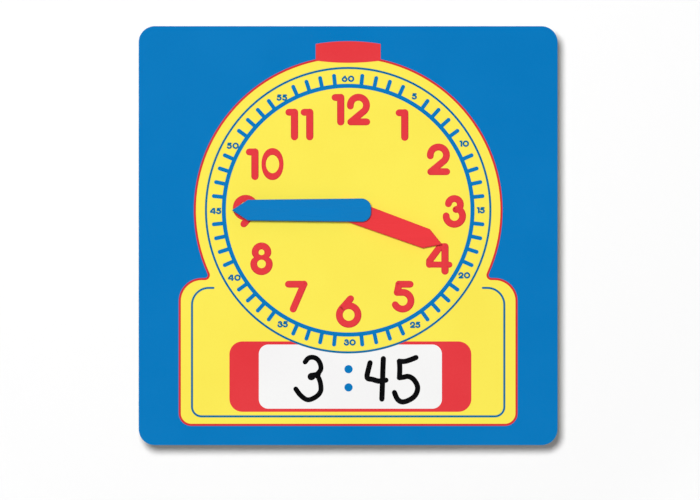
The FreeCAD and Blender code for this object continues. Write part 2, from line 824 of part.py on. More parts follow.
def make_gearbox_base():
    body = new_body("gearbox_base")
    outline = new_sketch(body, "base_outline")
    Housing.add_outline(outline)
    pad(body, outline, given("plate_thickness"))
    lip = new_sketch(body, "base_lip", -given("lip_height"))
    outer = given("housing_wall") + given("lip_fit")
    Housing.add_outline(lip, outer)
    Housing.add_outline(lip, outer + given("lip_width"))
    pad(body, lip, given("lip_height"))
    pillar_height = Depth.plate - given("pillar_split_depth") - given("running_gap")
    pillars = new_sketch(body, "base_pillars", -pillar_height)
    Housing.add_screw_circles(pillars, Housing.corner_round - outer)
    pad(body, pillars, pillar_height)
    pilots = new_sketch(body, "base_pilot_holes", -pillar_height)
    Housing.add_screw_circles(pilots, given("screw_radius") + given("press_fit"))
    screw_reach = SCREW_SEAT + given("screw_length") - Depth.plate + pillar_height
    pocket(body, pilots, screw_reach + given("hub_gap"), reverse=True)
    post_level = Depth.plate - given("cover_floor") - given("friction_washer_thickness")
    idler_boss = new_sketch(body, "base_idler_boss", -given("thrust_washer_thickness"))
    boss_radius = given("post_radius") + given("idler_boss_wall")
    add_circle(idler_boss, boss_radius, ZERO, -IDLER_DROP)
    pad(body, idler_boss, given("thrust_washer_thickness"))
    post = new_sketch(body, "base_idler_post", -(post_level + given("post_seat")))
    add_circle(post, given("post_radius"), ZERO, -IDLER_DROP)
    pad(body, post, post_level + given("post_seat"))
    collar = new_sketch(body, "base_collar", given("plate_thickness"))
    add_circle(collar, COLLAR_RADIUS)
    pad(body, collar, Depth.face - Depth.pad)
    bore = new_sketch(body, "base_collar_bore")
    add_circle(bore, COLLAR_BORE)
    pocket(body, bore, Depth.face - Depth.plate, reverse=True)
    stack(body, Depth.plate)
    return body


def make_adhesive_pad():
    body = new_body("adhesive_pad")
    outline = new_sketch(body, "pad_outline")
    Housing.add_outline(outline, given("pad_inset"))
    add_circle(outline, BOARD_HOLE)
    pad(body, outline, given("pad_thickness"))
    stack(body, Depth.pad)
    return body


def make_washer(name, outer, inner, thickness, depth):
    body = new_body(name)
    ring = new_sketch(body, f"{name}_ring")
    add_circle(ring, outer)
    add_circle(ring, inner)
    pad(body, ring, thickness)
    stack(body, depth)
    return body


# Four alike, one in each corner of the cover, with a slot across each head.
def make_cover_screws():
    body = new_body("cover_screws")
    heads = new_sketch(body, "screw_heads")
    Housing.add_screw_circles(heads, given("screw_head_radius"))
    pad(body, heads, given("screw_head_height"))
    shanks = new_sketch(body, "screw_shanks", given("screw_head_height"))
    Housing.add_screw_circles(shanks, given("screw_radius"))
    pad(body, shanks, given("screw_length"))
    slots = new_sketch(body, "screw_slots")
    side = Housing.half - given("screw_inset")
    half_slot = given("screw_slot_width") / 2
    reach = given("screw_head_radius") + given("overrun")
    for x in (-side, side):
        for y in (Housing.bottom + given("screw_inset"), Housing.top - given("screw_inset")):
            add_box(slots, x - reach, x + reach, y - half_slot, y + half_slot)
    pocket(body, slots, given("screw_slot_depth"), reverse=True)
    stack(body, given("screw_sink"))
    return body


# Gears
def make_idler_gear():
    body = new_body("idler_gear")
    blank = new_sketch(body, "idler_wheel_blank")
    add_circle(blank, idler_wheel.foot)
    pad(body, blank, given("gear_width"))
    add_teeth(body, "idler_wheel", idler_wheel, ZERO, given("gear_width"))
    recess = new_sketch(body, "idler_recess", given("gear_width"))
    add_circle(recess, idler_wheel.foot - given("rim_width"))
    pocket(body, recess, given("gear_width") - given("web_thickness"))
    hub = new_sketch(body, "idler_hub")
    add_circle(hub, idler_pinion.foot)
    pinion_top = Depth.thrust - given("running_gap") - Depth.rear_gears
    pad(body, hub, pinion_top)
    tooth_width = pinion_top - given("web_thickness")
    turn = half_pitch(idler_pinion) * 2 - half_pitch(idler_wheel)
    add_teeth(body, "idler_pinion", idler_pinion, given("web_thickness"), tooth_width, turn)
    bore = new_sketch(body, "idler_bore")
    add_circle(bore, given("post_radius") + given("running_fit"))
    pocket(body, bore, pinion_top, reverse=True)
    stack(body, Depth.rear_gears, half_pitch(idler_wheel), IDLER_DROP)
    return body


# The wheel and the tube that carries the hour hand are one moulding.
def make_hour_wheel():
    body = new_body("hour_wheel")
    blank = new_sketch(body, "hour_wheel_blank")
    add_circle(blank, hour_gear.foot)
    pad(body, blank, given("gear_width"))
    add_teeth(body, "hour_wheel", hour_gear, ZERO, given("gear_width"))
    recess = new_sketch(body, "hour_recess", given("gear_width"))
    add_circle(recess, hour_gear.foot - given("rim_width"))
    add_circle(recess, given("hub_radius"))
    pocket(body, recess, given("gear_width") - given("web_thickness"))
    tube = new_sketch(body, "hour_tube", given("gear_width"))
    add_circle(tube, TUBE_RADIUS)
    round_length = Depth.hour_hand - Depth.front_gears - given("gear_width")
    pad(body, tube, round_length)
    turn = given("hour_rest") + HALF_TURN - half_pitch(hour_gear)
    seat = new_sketch(body, "hour_hand_seat", given("gear_width") + round_length, turn)
    add_flatted_round(seat, TUBE_RADIUS, TUBE_RADIUS - given("flat_depth"))
    pad(body, seat, given("hand_thickness"))
    bore = new_sketch(body, "hour_wheel_bore")
    add_circle(bore, given("arbor_radius") + given("running_fit"))
    length = given("gear_width") + round_length + given("hand_thickness")
    pocket(body, bore, length, reverse=True)
    stack(body, Depth.front_gears, half_pitch(hour_gear) + HALF_TURN)
    return body


# The minute hand's arbor: rear pivot, pinion, shoulder and a shaft with two flats.
def make_minute_arbor():
    body = new_body("minute_arbor")
    blank = new_sketch(body, "minute_pinion_blank")
    add_circle(blank, minute_pinion.foot)
    pad(body, blank, given("gear_width"))
    add_teeth(body, "minute_pinion", minute_pinion, ZERO, given("gear_width"))
    pivot = new_sketch(body, "rear_pivot")
    add_circle(pivot, given("rear_pivot_radius"))
    pad(body, pivot, given("pivot_depth") + given("running_gap"), reverse=True)
    shoulder = new_sketch(body, "arbor_shoulder", given("gear_width"))
    add_circle(shoulder, given("arbor_radius") + given("arbor_collar_wall"))
    pad(body, shoulder, given("layer_gap") - given("running_gap"))
    shaft = new_sketch(body, "arbor_shaft", given("gear_width"))
    add_circle(shaft, given("arbor_radius"))
    round_length = Depth.minute_hand - Depth.rear_gears - given("gear_width")
    pad(body, shaft, round_length)
    turn = given("minute_rest") + HALF_TURN
    seat = new_sketch(body, "minute_hand_seat", given("gear_width") + round_length, turn)
    add_flatted_round(seat, given("arbor_radius"), given("arbor_radius") - given("flat_depth"))
    pad(body, seat, SOCKET_DEPTH - given("press_fit"))
    stack(body, Depth.rear_gears, as_size(HALF_TURN))
    return body


# Hands point up the sketch, taper to a shoulder and end in a point.
def make_minute_hand():
    body = new_body("minute_hand")
    outline = new_sketch(body, "minute_hand_outline")
    half = given("minute_tail_width") / 2
    shoulder = given("minute_shoulder_width") / 2
    neck = MINUTE_REACH - given("minute_head")
    bend = given("minute_tail_corner")
    tail = -given("minute_tail")
    add_outline(outline, [
        corner(shoulder, neck),
        corner(ZERO, MINUTE_REACH),
        corner(-shoulder, neck),
        corner(-half, tail + bend),
        corner(bend - half, tail, (bend - half, tail + bend)),
        corner(half - bend, tail),
        corner(half, tail + bend, (half - bend, tail + bend)),
    ])
    pad(body, outline, given("hand_thickness"))
    front = flat_face_names(body, given("hand_thickness"))
    bevel_edges(body, front, "minute_hand_edge", given("hand_edge_bevel"))
    grip = given("arbor_radius") + given("press_fit")
    boss = new_sketch(body, "minute_hand_boss")
    add_circle(boss, grip + given("hand_boss_wall"))
    pad(body, boss, given("hour_to_minute_hand") - given("hub_gap"), reverse=True)
    bore = new_sketch(body, "minute_boss_bore", given("hub_gap") - given("hour_to_minute_hand"))
    add_circle(bore, grip)
    pocket(body, bore, given("hour_to_minute_hand") - given("hub_gap"), reverse=True)
    socket = new_sketch(body, "minute_hand_socket")
    add_flatted_round(socket, grip, grip - given("flat_depth"))
    pocket(body, socket, SOCKET_DEPTH, reverse=True)
    stack(body, Depth.minute_hand, given("minute_rest"))
    return body


def make_hour_hand():
    body = new_body("hour_hand")
    outline = new_sketch(body, "hour_hand_outline")
    half = given("hour_root_width") / 2
    shoulder = given("hour_shoulder_width") / 2
    neck = HOUR_REACH - given("hour_head")
    add_outline(outline, [
        corner(shoulder, neck),
        corner(ZERO, HOUR_REACH),
        corner(-shoulder, neck),
        corner(-half, ZERO),
        corner(ZERO, -half, (ZERO, ZERO)),
        corner(half, ZERO, (ZERO, ZERO)),
    ])
    pad(body, outline, given("hand_thickness"))
    front = flat_face_names(body, given("hand_thickness"))
    bevel_edges(body, front, "hour_hand_edge", given("hand_edge_bevel"))
    grip = TUBE_RADIUS + given("press_fit")
    boss = new_sketch(body, "hour_hand_boss")
    add_circle(boss, grip + given("collar_wall"))
    boss_height = given("board_to_hour_hand") - given("hub_gap")
    pad(body, boss, boss_height, reverse=True)
    bore = new_sketch(body, "hour_boss_bore", -boss_height)
    add_circle(bore, grip)
    pocket(body, bore, boss_height, reverse=True)
    socket = new_sketch(body, "hour_hand_socket")
    add_flatted_round(socket, grip, grip - given("flat_depth"))
    pocket(body, socket, given("hand_thickness"), reverse=True)
    stack(body, Depth.hour_hand, given("hour_rest"))
    return body


pieces = [
    make_board_sheet("back_sheet", Depth.back_sheet, given("sheet_thickness")),
    make_board_sheet("board_core", Depth.core, given("core_thickness")),
    make_board_sheet("face_sheet", Depth.face_sheet, given("sheet_thickness")),
    make_clock_figure("outline_print", ZERO, "outline"),
    make_clock_figure("clock_print", given("outline_width"), "clock"),
    make_cap_print(),
    make_minute_ring_print(),
    make_number_ring_print(),
    make_foot_line_print(),
    make_window_print("window_frame_print", FRAME_WIDTH, FRAME_HEIGHT,
                      given("frame_corner"), "dial"),
    make_window_print("window_panel_print", PANEL_WIDTH, PANEL_HEIGHT,
                      given("panel_corner"), "panel"),
    make_colon_print(),
    make_adhesive_pad(),
    make_gearbox_base(),
    make_gearbox_cover(),
    make_cover_screws(),
    make_washer("friction_washer", given("friction_washer_radius"),
                given("rear_pivot_radius") + given("running_fit") + given("boss_wall")
                + given("washer_fit"), given("friction_washer_thickness"), Depth.washer),
    make_washer("thrust_washer", given("thrust_washer_radius"), TUBE_RADIUS + given("washer_fit") * 2,
                given("thrust_washer_thickness"), Depth.thrust),
    make_minute_arbor(),
    make_idler_gear(),
    make_hour_wheel(),
    make_hour_hand(),
    make_minute_hand(),
]

doc.recompute()
for item in doc.Objects:
    if "Invalid" in item.State or "Error" in item.State:
        raise ValueError(f"{item.Label} did not build: {item.State}")
for piece in pieces:
    if piece.Shape.isNull() or not piece.Shape.isValid():
        raise ValueError(f"{piece.Label} has no valid shape")

os.makedirs("parts", exist_ok=True)
for piece in pieces:
    piece.Shape.exportStep(f"parts/{piece.Label}.step")
    box = piece.Shape.BoundBox
    print(f"{piece.Label:20s} {len(piece.Shape.Solids)} solid(s) {piece.Shape.Volume:10.3f} mm3"
          f"  y {box.YMin:.2f} to {box.YMax:.2f}")
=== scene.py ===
import math

import bmesh
import bpy
from mathutils import Matrix, Vector


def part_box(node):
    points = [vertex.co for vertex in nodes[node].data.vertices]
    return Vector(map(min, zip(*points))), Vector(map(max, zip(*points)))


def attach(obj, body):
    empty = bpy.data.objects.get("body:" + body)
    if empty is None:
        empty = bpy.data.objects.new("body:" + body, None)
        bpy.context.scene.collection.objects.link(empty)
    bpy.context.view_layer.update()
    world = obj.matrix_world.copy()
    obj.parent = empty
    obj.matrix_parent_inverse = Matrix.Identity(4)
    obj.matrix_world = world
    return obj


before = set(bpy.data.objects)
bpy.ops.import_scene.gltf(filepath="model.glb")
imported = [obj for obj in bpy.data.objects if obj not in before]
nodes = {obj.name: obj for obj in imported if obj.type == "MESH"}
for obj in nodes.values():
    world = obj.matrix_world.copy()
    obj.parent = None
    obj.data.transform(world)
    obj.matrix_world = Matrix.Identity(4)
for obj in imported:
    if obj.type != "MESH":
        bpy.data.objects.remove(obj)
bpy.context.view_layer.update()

scene = bpy.context.scene
mm = 0.001
waveRepeat = 0.314  # a wave texture of scale 1 repeats every 0.314 m

# Looks for a geared teaching clock: a printed blue board with a yellow clock figure, a
# write-and-wipe window showing 3:45, two moulded hands and a white gearbox on the back.


def linear(hexColour):  # sRGB hex to the linear colour that shaders take
    colour = []
    for place in (0, 2, 4):
        share = int(hexColour[place:place + 2], 16) / 255
        colour.append(share / 12.92 if share <= 0.04045 else ((share + 0.055) / 1.055) ** 2.4)
    return (*colour, 1.0)


def addNode(tree, kind, settings=None, values=None, links=None):
    node = tree.nodes.new("ShaderNode" + kind)
    for name, setting in (settings or {}).items():
        setattr(node, name, setting)
    for socket, value in (values or {}).items():
        node.inputs[socket].default_value = value
    for socket, (source, output) in (links or {}).items():
        tree.links.new(source.outputs[output], node.inputs[socket])
    return node


def newMaterial(name):
    material = bpy.data.materials.new(name)
    material.use_nodes = True
    material.node_tree.nodes.clear()
    return material, material.node_tree


def coat(nodeNames, material):
    for name in nodeNames:
        slots = nodes[name].material_slots
        if not slots:
            nodes[name].data.materials.append(material)
        for materialSlot in slots:
            materialSlot.material = material


# Materials

# Offset print under a clear polyester write-and-wipe film. The eye sees an even, saturated
# colour with a slight unevenness of ink, a fine screen grain and a smooth gloss that dry wiping
# has scratched a little. The real screen is 0.17 mm, so the grain is drawn three times as coarse.
printedFilm = {
    "inkPatch": 18 * mm,
    "grain": 0.5 * mm,
    "grainShare": 0.45,  # of the patches' strength
    "inkRange": (0.5, 0.95),  # where patches and grain together pass from deep to light
    "wipeLength": 16 * mm,
    "wipeWidth": 0.35 * mm,
    "wipeTilt": math.radians(14),
    "wipeRange": (0.45, 0.75),
    "smooth": 0.085,
    "wiped": 0.15,
    "peel": 1.6 * mm,  # the film's faint orange peel
    "peelDepth": 0.004 * mm,
    "peelStrength": 0.35,
    "specular": 0.05,
    "ior": 1.5,
    # Each ink's deep and light colour, and the areas that it prints. The two line inks are the
    # same blue and red, drawn deeper, because a picture's pixels pale a thin line.
    "inks": {
        "bluePrintUnderFilm": ("0076bb", "0479be",
                               ["face_sheet", "minute_ring_print", "colon_print"]),
        "redPrintUnderFilm": ("e3383f", "e63e44", ["cap_print", "window_frame_print"]),
        "yellowPrintUnderFilm": ("fae854", "fcec58", ["clock_print"]),
        "whitePrintUnderFilm": ("f4f3f3", "f7f7f6", ["window_panel_print"]),
        "blueLinePrintUnderFilm": ("006a9e", "036fa4", ["number_ring_print", "foot_line_print"]),
        "redLinePrintUnderFilm": ("d22f34", "d7353a", ["outline_print"]),
    },
}


def filmMaterial(name, deepColour, lightColour):
    look = printedFilm
    material, tree = newMaterial(name)
    place = addNode(tree, "TexCoord")
    patch = addNode(tree, "TexNoise", values={"Scale": 1 / look["inkPatch"], "Detail": 2.0},
                    links={"Vector": (place, "Object")})
    grain = addNode(tree, "TexNoise", values={"Scale": 1 / look["grain"], "Detail": 1.0},
                    links={"Vector": (place, "Object")})
    ink = addNode(tree, "Math", {"operation": "MULTIPLY_ADD"}, {1: look["grainShare"]},
                  {0: (grain, 0), 2: (patch, 0)})
    density = addNode(tree, "MapRange", values={
        "From Min": look["inkRange"][0], "From Max": look["inkRange"][1],
    }, links={"Value": (ink, 0)})
    colour = addNode(tree, "Mix", {"data_type": "RGBA"},
                     {6: linear(deepColour), 7: linear(lightColour)}, {0: (density, 0)})
    turned = addNode(tree, "Mapping", values={
        "Rotation": (0, look["wipeTilt"], 0),
        "Scale": (1 / look["wipeLength"], 1 / look["wipeWidth"], 1 / look["wipeWidth"]),
    }, links={"Vector": (place, "Object")})
    wipes = addNode(tree, "TexNoise", values={"Scale": 1.0, "Detail": 3.0},
                    links={"Vector": (turned, 0)})
    gloss = addNode(tree, "MapRange", values={
        "From Min": look["wipeRange"][0], "From Max": look["wipeRange"][1],
        "To Min": look["smooth"], "To Max": look["wiped"],
    }, links={"Value": (wipes, 0)})
    peel = addNode(tree, "TexNoise", values={"Scale": 1 / look["peel"], "Detail": 0.0},
                   links={"Vector": (place, "Object")})
    bump = addNode(tree, "Bump", values={
        "Strength": look["peelStrength"], "Distance": look["peelDepth"],
    }, links={"Height": (peel, 0)})
    film = addNode(tree, "BsdfPrincipled", values={
        "Specular IOR Level": look["specular"], "IOR": look["ior"],
    }, links={"Base Color": (colour, 2), "Roughness": (gloss, 0), "Normal": (bump, 0)})
    addNode(tree, "OutputMaterial", links={"Surface": (film, 0)})
    return material


inks = {}
for name, (deepColour, lightColour, areas) in printedFilm["inks"].items():
    inks[name] = filmMaterial(name, deepColour, lightColour)
    coat(areas, inks[name])
print("scene: printed sheet coated")

# Injection-moulded polystyrene: solid colour, softly glossy, with faint flow marks along the
# hand and a fine unevenness left by the mould.
mouldedHand = {
    "flowLength": 22 * mm,
    "flowWidth": 2.5 * mm,
    "moulding": 0.6 * mm,
    "mouldingDepth": 0.004 * mm,
    "mouldingStrength": 0.4,
    "flowRange": (0.35, 0.7),
    "smooth": 0.24,
    "dull": 0.34,
    "specular": 0.12,
    "ior": 1.59,
    "colours": {
        "minute_hand": ("blueMouldedStyrene", "0076b9", "047cc2"),
        "hour_hand": ("redMouldedStyrene", "e7363c", "ee3c42"),
    },
}


def handMaterial(name, deepColour, lightColour):
    look = mouldedHand
    material, tree = newMaterial(name)
    place = addNode(tree, "TexCoord")
    along = addNode(tree, "Mapping", values={
        "Scale": (1 / look["flowLength"], 1 / look["flowWidth"], 1 / look["flowWidth"]),
    }, links={"Vector": (place, "Object")})
    flow = addNode(tree, "TexNoise", values={"Scale": 1.0, "Detail": 3.0, "Distortion": 0.6},
                   links={"Vector": (along, 0)})
    colour = addNode(tree, "Mix", {"data_type": "RGBA"},
                     {6: linear(deepColour), 7: linear(lightColour)}, {0: (flow, 0)})
    gloss = addNode(tree, "MapRange", values={
        "From Min": look["flowRange"][0], "From Max": look["flowRange"][1],
        "To Min": look["smooth"], "To Max": look["dull"],
    }, links={"Value": (flow, 0)})
    skin = addNode(tree, "TexNoise", values={"Scale": 1 / look["moulding"], "Detail": 2.0},
                   links={"Vector": (place, "Object")})
    bump = addNode(tree, "Bump", values={
        "Strength": look["mouldingStrength"], "Distance": look["mouldingDepth"],
    }, links={"Height": (skin, 0)})
    plastic = addNode(tree, "BsdfPrincipled", values={
        "Specular IOR Level": look["specular"], "IOR": look["ior"],
    }, links={"Base Color": (colour, 2), "Roughness": (gloss, 0), "Normal": (bump, 0)})
    addNode(tree, "OutputMaterial", links={"Surface": (plastic, 0)})
    return material


for hand, handColours in mouldedHand["colours"].items():
    coat([hand], handMaterial(*handColours))
print("scene: hands coated")

coverLow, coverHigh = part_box("gearbox_cover")
coverMiddle = (coverLow.z + coverHigh.z) / 2

# Moulded ABS, spark-eroded: an even, matt, slightly warm white. Its grain is 0.1 mm and is
# drawn at 0.5 mm. The mould's four ejector pins leave round spots with no grain on the cover.
sparkErodedAbs = {
    "deep": "e2e0d9",
    "light": "efede7",
    "grain": 0.5 * mm,
    "grainDepth": 0.2 * mm,
    "grainStrength": 0.5,
    "tonePatch": 9 * mm,
    "spotRadius": 1.5 * mm,
    "spotEdge": 0.1 * mm,
    "spotAcross": 8.4 * mm,  # from the middle of the cover
    "spotUp": 12.5 * mm,
    "polished": 0.3,
    "eroded": 0.85,
    "specular": 0.45,
    "ior": 1.53,
}


def absMaterial():
    look = sparkErodedAbs
    material, tree = newMaterial("sparkErodedWhiteAbs")
    place = addNode(tree, "TexCoord")
    tone = addNode(tree, "TexNoise", values={"Scale": 1 / look["tonePatch"], "Detail": 2.0},
                   links={"Vector": (place, "Object")})
    colour = addNode(tree, "Mix", {"data_type": "RGBA"},
                     {6: linear(look["deep"]), 7: linear(look["light"])}, {0: (tone, 0)})
    grain = addNode(tree, "TexNoise", values={"Scale": 1 / look["grain"], "Detail": 2.0},
                    links={"Vector": (place, "Object")})
    middle = addNode(tree, "VectorMath", {"operation": "SUBTRACT"},
                     {1: (0, 0, coverMiddle)}, {0: (place, "Object")})
    quarter = addNode(tree, "VectorMath", {"operation": "ABSOLUTE"}, links={0: (middle, 0)})
    fromSpot = addNode(tree, "VectorMath", {"operation": "SUBTRACT"},
                       {1: (look["spotAcross"], 0, look["spotUp"])}, {0: (quarter, 0)})
    acrossOnly = addNode(tree, "VectorMath", {"operation": "MULTIPLY"}, {1: (1, 0, 1)},
                         {0: (fromSpot, 0)})
    distance = addNode(tree, "VectorMath", {"operation": "LENGTH"}, links={0: (acrossOnly, 0)})
    outside = addNode(tree, "MapRange", values={
        "From Min": look["spotRadius"] - look["spotEdge"], "From Max": look["spotRadius"],
    }, links={"Value": (distance, "Value")})
    erosion = addNode(tree, "Math", {"operation": "MULTIPLY"},
                      links={0: (grain, 0), 1: (outside, 0)})
    gloss = addNode(tree, "MapRange", values={
        "To Min": look["polished"], "To Max": look["eroded"],
    }, links={"Value": (erosion, 0)})
    bump = addNode(tree, "Bump", values={
        "Strength": look["grainStrength"], "Distance": look["grainDepth"],
    }, links={"Height": (erosion, 0)})
    plastic = addNode(tree, "BsdfPrincipled", values={
        "Specular IOR Level": look["specular"], "IOR": look["ior"],
    }, links={"Base Color": (colour, 2), "Roughness": (gloss, 0), "Normal": (bump, 0)})
    addNode(tree, "OutputMaterial", links={"Surface": (plastic, 0)})
    return material


coat(["gearbox_cover", "gearbox_base"], absMaterial())

# Natural acetal: milky, faintly translucent and a little slippery, with fine mould lines.
naturalAcetal = {
    "deep": "ece9df",
    "light": "f7f5ee",
    "tonePatch": 5 * mm,
    "mouldLine": 0.4 * mm,
    "lineDepth": 0.01 * mm,
    "lineStrength": 0.3,
    "roughness": (0.3, 0.42),
    "ior": 1.48,
    "glow": 0.2,  # the share of light that passes under the skin
    "glowDepth": 0.8 * mm,
    "glowColour": (1.0, 0.9, 0.8),
}


def acetalMaterial():
    look = naturalAcetal
    material, tree = newMaterial("naturalAcetal")
    place = addNode(tree, "TexCoord")
    tone = addNode(tree, "TexNoise", values={"Scale": 1 / look["tonePatch"], "Detail": 2.0},
                   links={"Vector": (place, "Object")})
    colour = addNode(tree, "Mix", {"data_type": "RGBA"},
                     {6: linear(look["deep"]), 7: linear(look["light"])}, {0: (tone, 0)})
    lines = addNode(tree, "TexWave", {"bands_direction": "Y"},
                    {"Scale": waveRepeat / look["mouldLine"], "Distortion": 1.5, "Detail": 2.0},
                    {"Vector": (place, "Object")})
    gloss = addNode(tree, "MapRange", values={
        "To Min": look["roughness"][0], "To Max": look["roughness"][1],
    }, links={"Value": (lines, "Fac")})
    bump = addNode(tree, "Bump", values={
        "Strength": look["lineStrength"], "Distance": look["lineDepth"],
    }, links={"Height": (lines, "Fac")})
    plastic = addNode(tree, "BsdfPrincipled", values={
        "IOR": look["ior"], "Subsurface Weight": look["glow"],
        "Subsurface Radius": look["glowColour"], "Subsurface Scale": look["glowDepth"],
    }, links={"Base Color": (colour, 2), "Roughness": (gloss, 0), "Normal": (bump, 0)})
    addNode(tree, "OutputMaterial", links={"Surface": (plastic, 0)})
    return material


coat(["minute_arbor", "idler_gear", "hour_wheel"], acetalMaterial())

# Solid bleached board, die-cut: chalky white, with its plies and torn fibres at the cut edge.
bleachedBoard = {
    "deep": "d6d2c8",
    "light": "efede6",
    "ply": 0.45 * mm,
    "plyShare": 0.5,  # of the fibres' height
    "fibre": 0.25 * mm,
    "fibreDepth": 0.05 * mm,
    "fibreStrength": 0.5,
    "roughness": 0.85,
    "specular": 0.25,
}


def boardMaterial():
    look = bleachedBoard
    material, tree = newMaterial("bleachedBoardCutEdge")
    place = addNode(tree, "TexCoord")
    plies = addNode(tree, "TexWave", {"bands_direction": "Y"},
                    {"Scale": waveRepeat / look["ply"], "Distortion": 2.0, "Detail": 2.0,
                     "Detail Scale": 3.0}, {"Vector": (place, "Object")})
    fibres = addNode(tree, "TexNoise", values={"Scale": 1 / look["fibre"], "Detail": 4.0},
                     links={"Vector": (place, "Object")})
    height = addNode(tree, "Math", {"operation": "MULTIPLY_ADD"}, {1: look["plyShare"]},
                     {0: (plies, "Fac"), 2: (fibres, 0)})
    colour = addNode(tree, "Mix", {"data_type": "RGBA"},
                     {6: linear(look["deep"]), 7: linear(look["light"])}, {0: (height, 0)})
    bump = addNode(tree, "Bump", values={
        "Strength": look["fibreStrength"], "Distance": look["fibreDepth"],
    }, links={"Height": (height, 0)})
    board = addNode(tree, "BsdfPrincipled", values={
        "Roughness": look["roughness"], "Specular IOR Level": look["specular"],
    }, links={"Base Color": (colour, 2), "Normal": (bump, 0)})
    addNode(tree, "OutputMaterial", links={"Surface": (board, 0)})
    return material


# White laminate, calendered: clean white with a low sheen and a fine leathery emboss, drawn at
# 0.8 mm, and faint handling rubs.
calenderedLaminate = {
    "deep": "e9e8e4",
    "light": "f4f3f0",
    "emboss": 0.8 * mm,
    "embossDepth": 0.02 * mm,
    "embossStrength": 0.5,
    "rub": 25 * mm,
    "rubRange": (0.3, 0.7),
    "roughness": (0.3, 0.46),
    "specular": 0.45,
}


def laminateMaterial():
    look = calenderedLaminate
    material, tree = newMaterial("whiteCalenderedLaminate")
    place = addNode(tree, "TexCoord")
    emboss = addNode(tree, "TexVoronoi", {"feature": "SMOOTH_F1"},
                     {"Scale": 1 / look["emboss"], "Smoothness": 0.8},
                     {"Vector": (place, "Object")})
    rubs = addNode(tree, "TexNoise", values={"Scale": 1 / look["rub"], "Detail": 5.0},
                   links={"Vector": (place, "Object")})
    colour = addNode(tree, "Mix", {"data_type": "RGBA"},
                     {6: linear(look["deep"]), 7: linear(look["light"])}, {0: (rubs, 0)})
    gloss = addNode(tree, "MapRange", values={
        "From Min": look["rubRange"][0], "From Max": look["rubRange"][1],
        "To Min": look["roughness"][0], "To Max": look["roughness"][1],
    }, links={"Value": (rubs, 0)})
    bump = addNode(tree, "Bump", values={
        "Strength": look["embossStrength"], "Distance": look["embossDepth"],
    }, links={"Height": (emboss, "Distance")})
    sheet = addNode(tree, "BsdfPrincipled", values={"Specular IOR Level": look["specular"]},
                    links={"Base Color": (colour, 2), "Roughness": (gloss, 0),
                           "Normal": (bump, 0)})
    addNode(tree, "OutputMaterial", links={"Surface": (sheet, 0)})
    return material


coat(["board_core"], boardMaterial())
coat(["back_sheet"], laminateMaterial())

# Closed-cell polyethylene foam tape: pale grey, soft-looking, with open bubbles at its cut edge.
foamTape = {
    "deep": "c4c4bf",
    "light": "e0e0dc",
    "cell": 0.4 * mm,
    "cellDepth": 0.12 * mm,
    "cellStrength": 0.7,
    "roughness": 0.9,
    "specular": 0.3,
}


def foamMaterial():
    look = foamTape
    material, tree = newMaterial("closedCellFoamTape")
    place = addNode(tree, "TexCoord")
    cells = addNode(tree, "TexVoronoi", values={"Scale": 1 / look["cell"]},
                    links={"Vector": (place, "Object")})
    colour = addNode(tree, "Mix", {"data_type": "RGBA"},
                     {6: linear(look["deep"]), 7: linear(look["light"])},
                     {0: (cells, "Distance")})
    bump = addNode(tree, "Bump", values={
        "Strength": look["cellStrength"], "Distance": look["cellDepth"],
    }, links={"Height": (cells, "Distance")})
    foam = addNode(tree, "BsdfPrincipled", values={
        "Roughness": look["roughness"], "Specular IOR Level": look["specular"],
    }, links={"Base Color": (colour, 2), "Normal": (bump, 0)})
    addNode(tree, "OutputMaterial", links={"Surface": (foam, 0)})
    return material


coat(["adhesive_pad"], foamMaterial())

# Zinc-plated steel screws: bright, cool grey, with the heads' turning rings. The rings are
# 0.05 mm apart on the real head and are drawn at 0.22 mm.
zincScrew = {
    "deep": "a9adb2",
    "light": "c9ccd0",
    "ring": 0.22 * mm,
    "ringDepth": 0.012 * mm,
    "ringStrength": 0.5,
    "spot": 0.7 * mm,
    "roughness": (0.22, 0.4),
    "headRadius": 1.9 * mm,
}


def zincMaterial():
    look = zincScrew
    material, tree = newMaterial("zincPlatedSteel")
    place = addNode(tree, "TexCoord")
    middle = addNode(tree, "VectorMath", {"operation": "SUBTRACT"},
                     {1: (0, 0, coverMiddle)}, {0: (place, "Object")})
    quarter = addNode(tree, "VectorMath", {"operation": "ABSOLUTE"}, links={0: (middle, 0)})
    low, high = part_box("cover_screws")
    across = (high.x - low.x) / 2 - look["headRadius"]  # from the cover's middle to a screw
    up = (high.z - low.z) / 2 - look["headRadius"]
    fromScrew = addNode(tree, "VectorMath", {"operation": "SUBTRACT"}, {1: (across, 0, up)},
                        {0: (quarter, 0)})
    rings = addNode(tree, "TexWave", {"wave_type": "RINGS", "rings_direction": "Y"},
                    {"Scale": waveRepeat / look["ring"], "Distortion": 0.4},
                    {"Vector": (fromScrew, 0)})
    spots = addNode(tree, "TexNoise", values={"Scale": 1 / look["spot"], "Detail": 3.0},
                    links={"Vector": (place, "Object")})
    colour = addNode(tree, "Mix", {"data_type": "RGBA"},
                     {6: linear(look["deep"]), 7: linear(look["light"])}, {0: (spots, 0)})
    gloss = addNode(tree, "MapRange", values={
        "To Min": look["roughness"][0], "To Max": look["roughness"][1],
    }, links={"Value": (spots, 0)})
    bump = addNode(tree, "Bump", values={
        "Strength": look["ringStrength"], "Distance": look["ringDepth"],
    }, links={"Height": (rings, "Fac")})
    steel = addNode(tree, "BsdfPrincipled", values={"Metallic": 1.0},
                    links={"Base Color": (colour, 2), "Roughness": (gloss, 0),
                           "Normal": (bump, 0)})
    addNode(tree, "OutputMaterial", links={"Surface": (steel, 0)})
    return material


coat(["cover_screws"], zincMaterial())

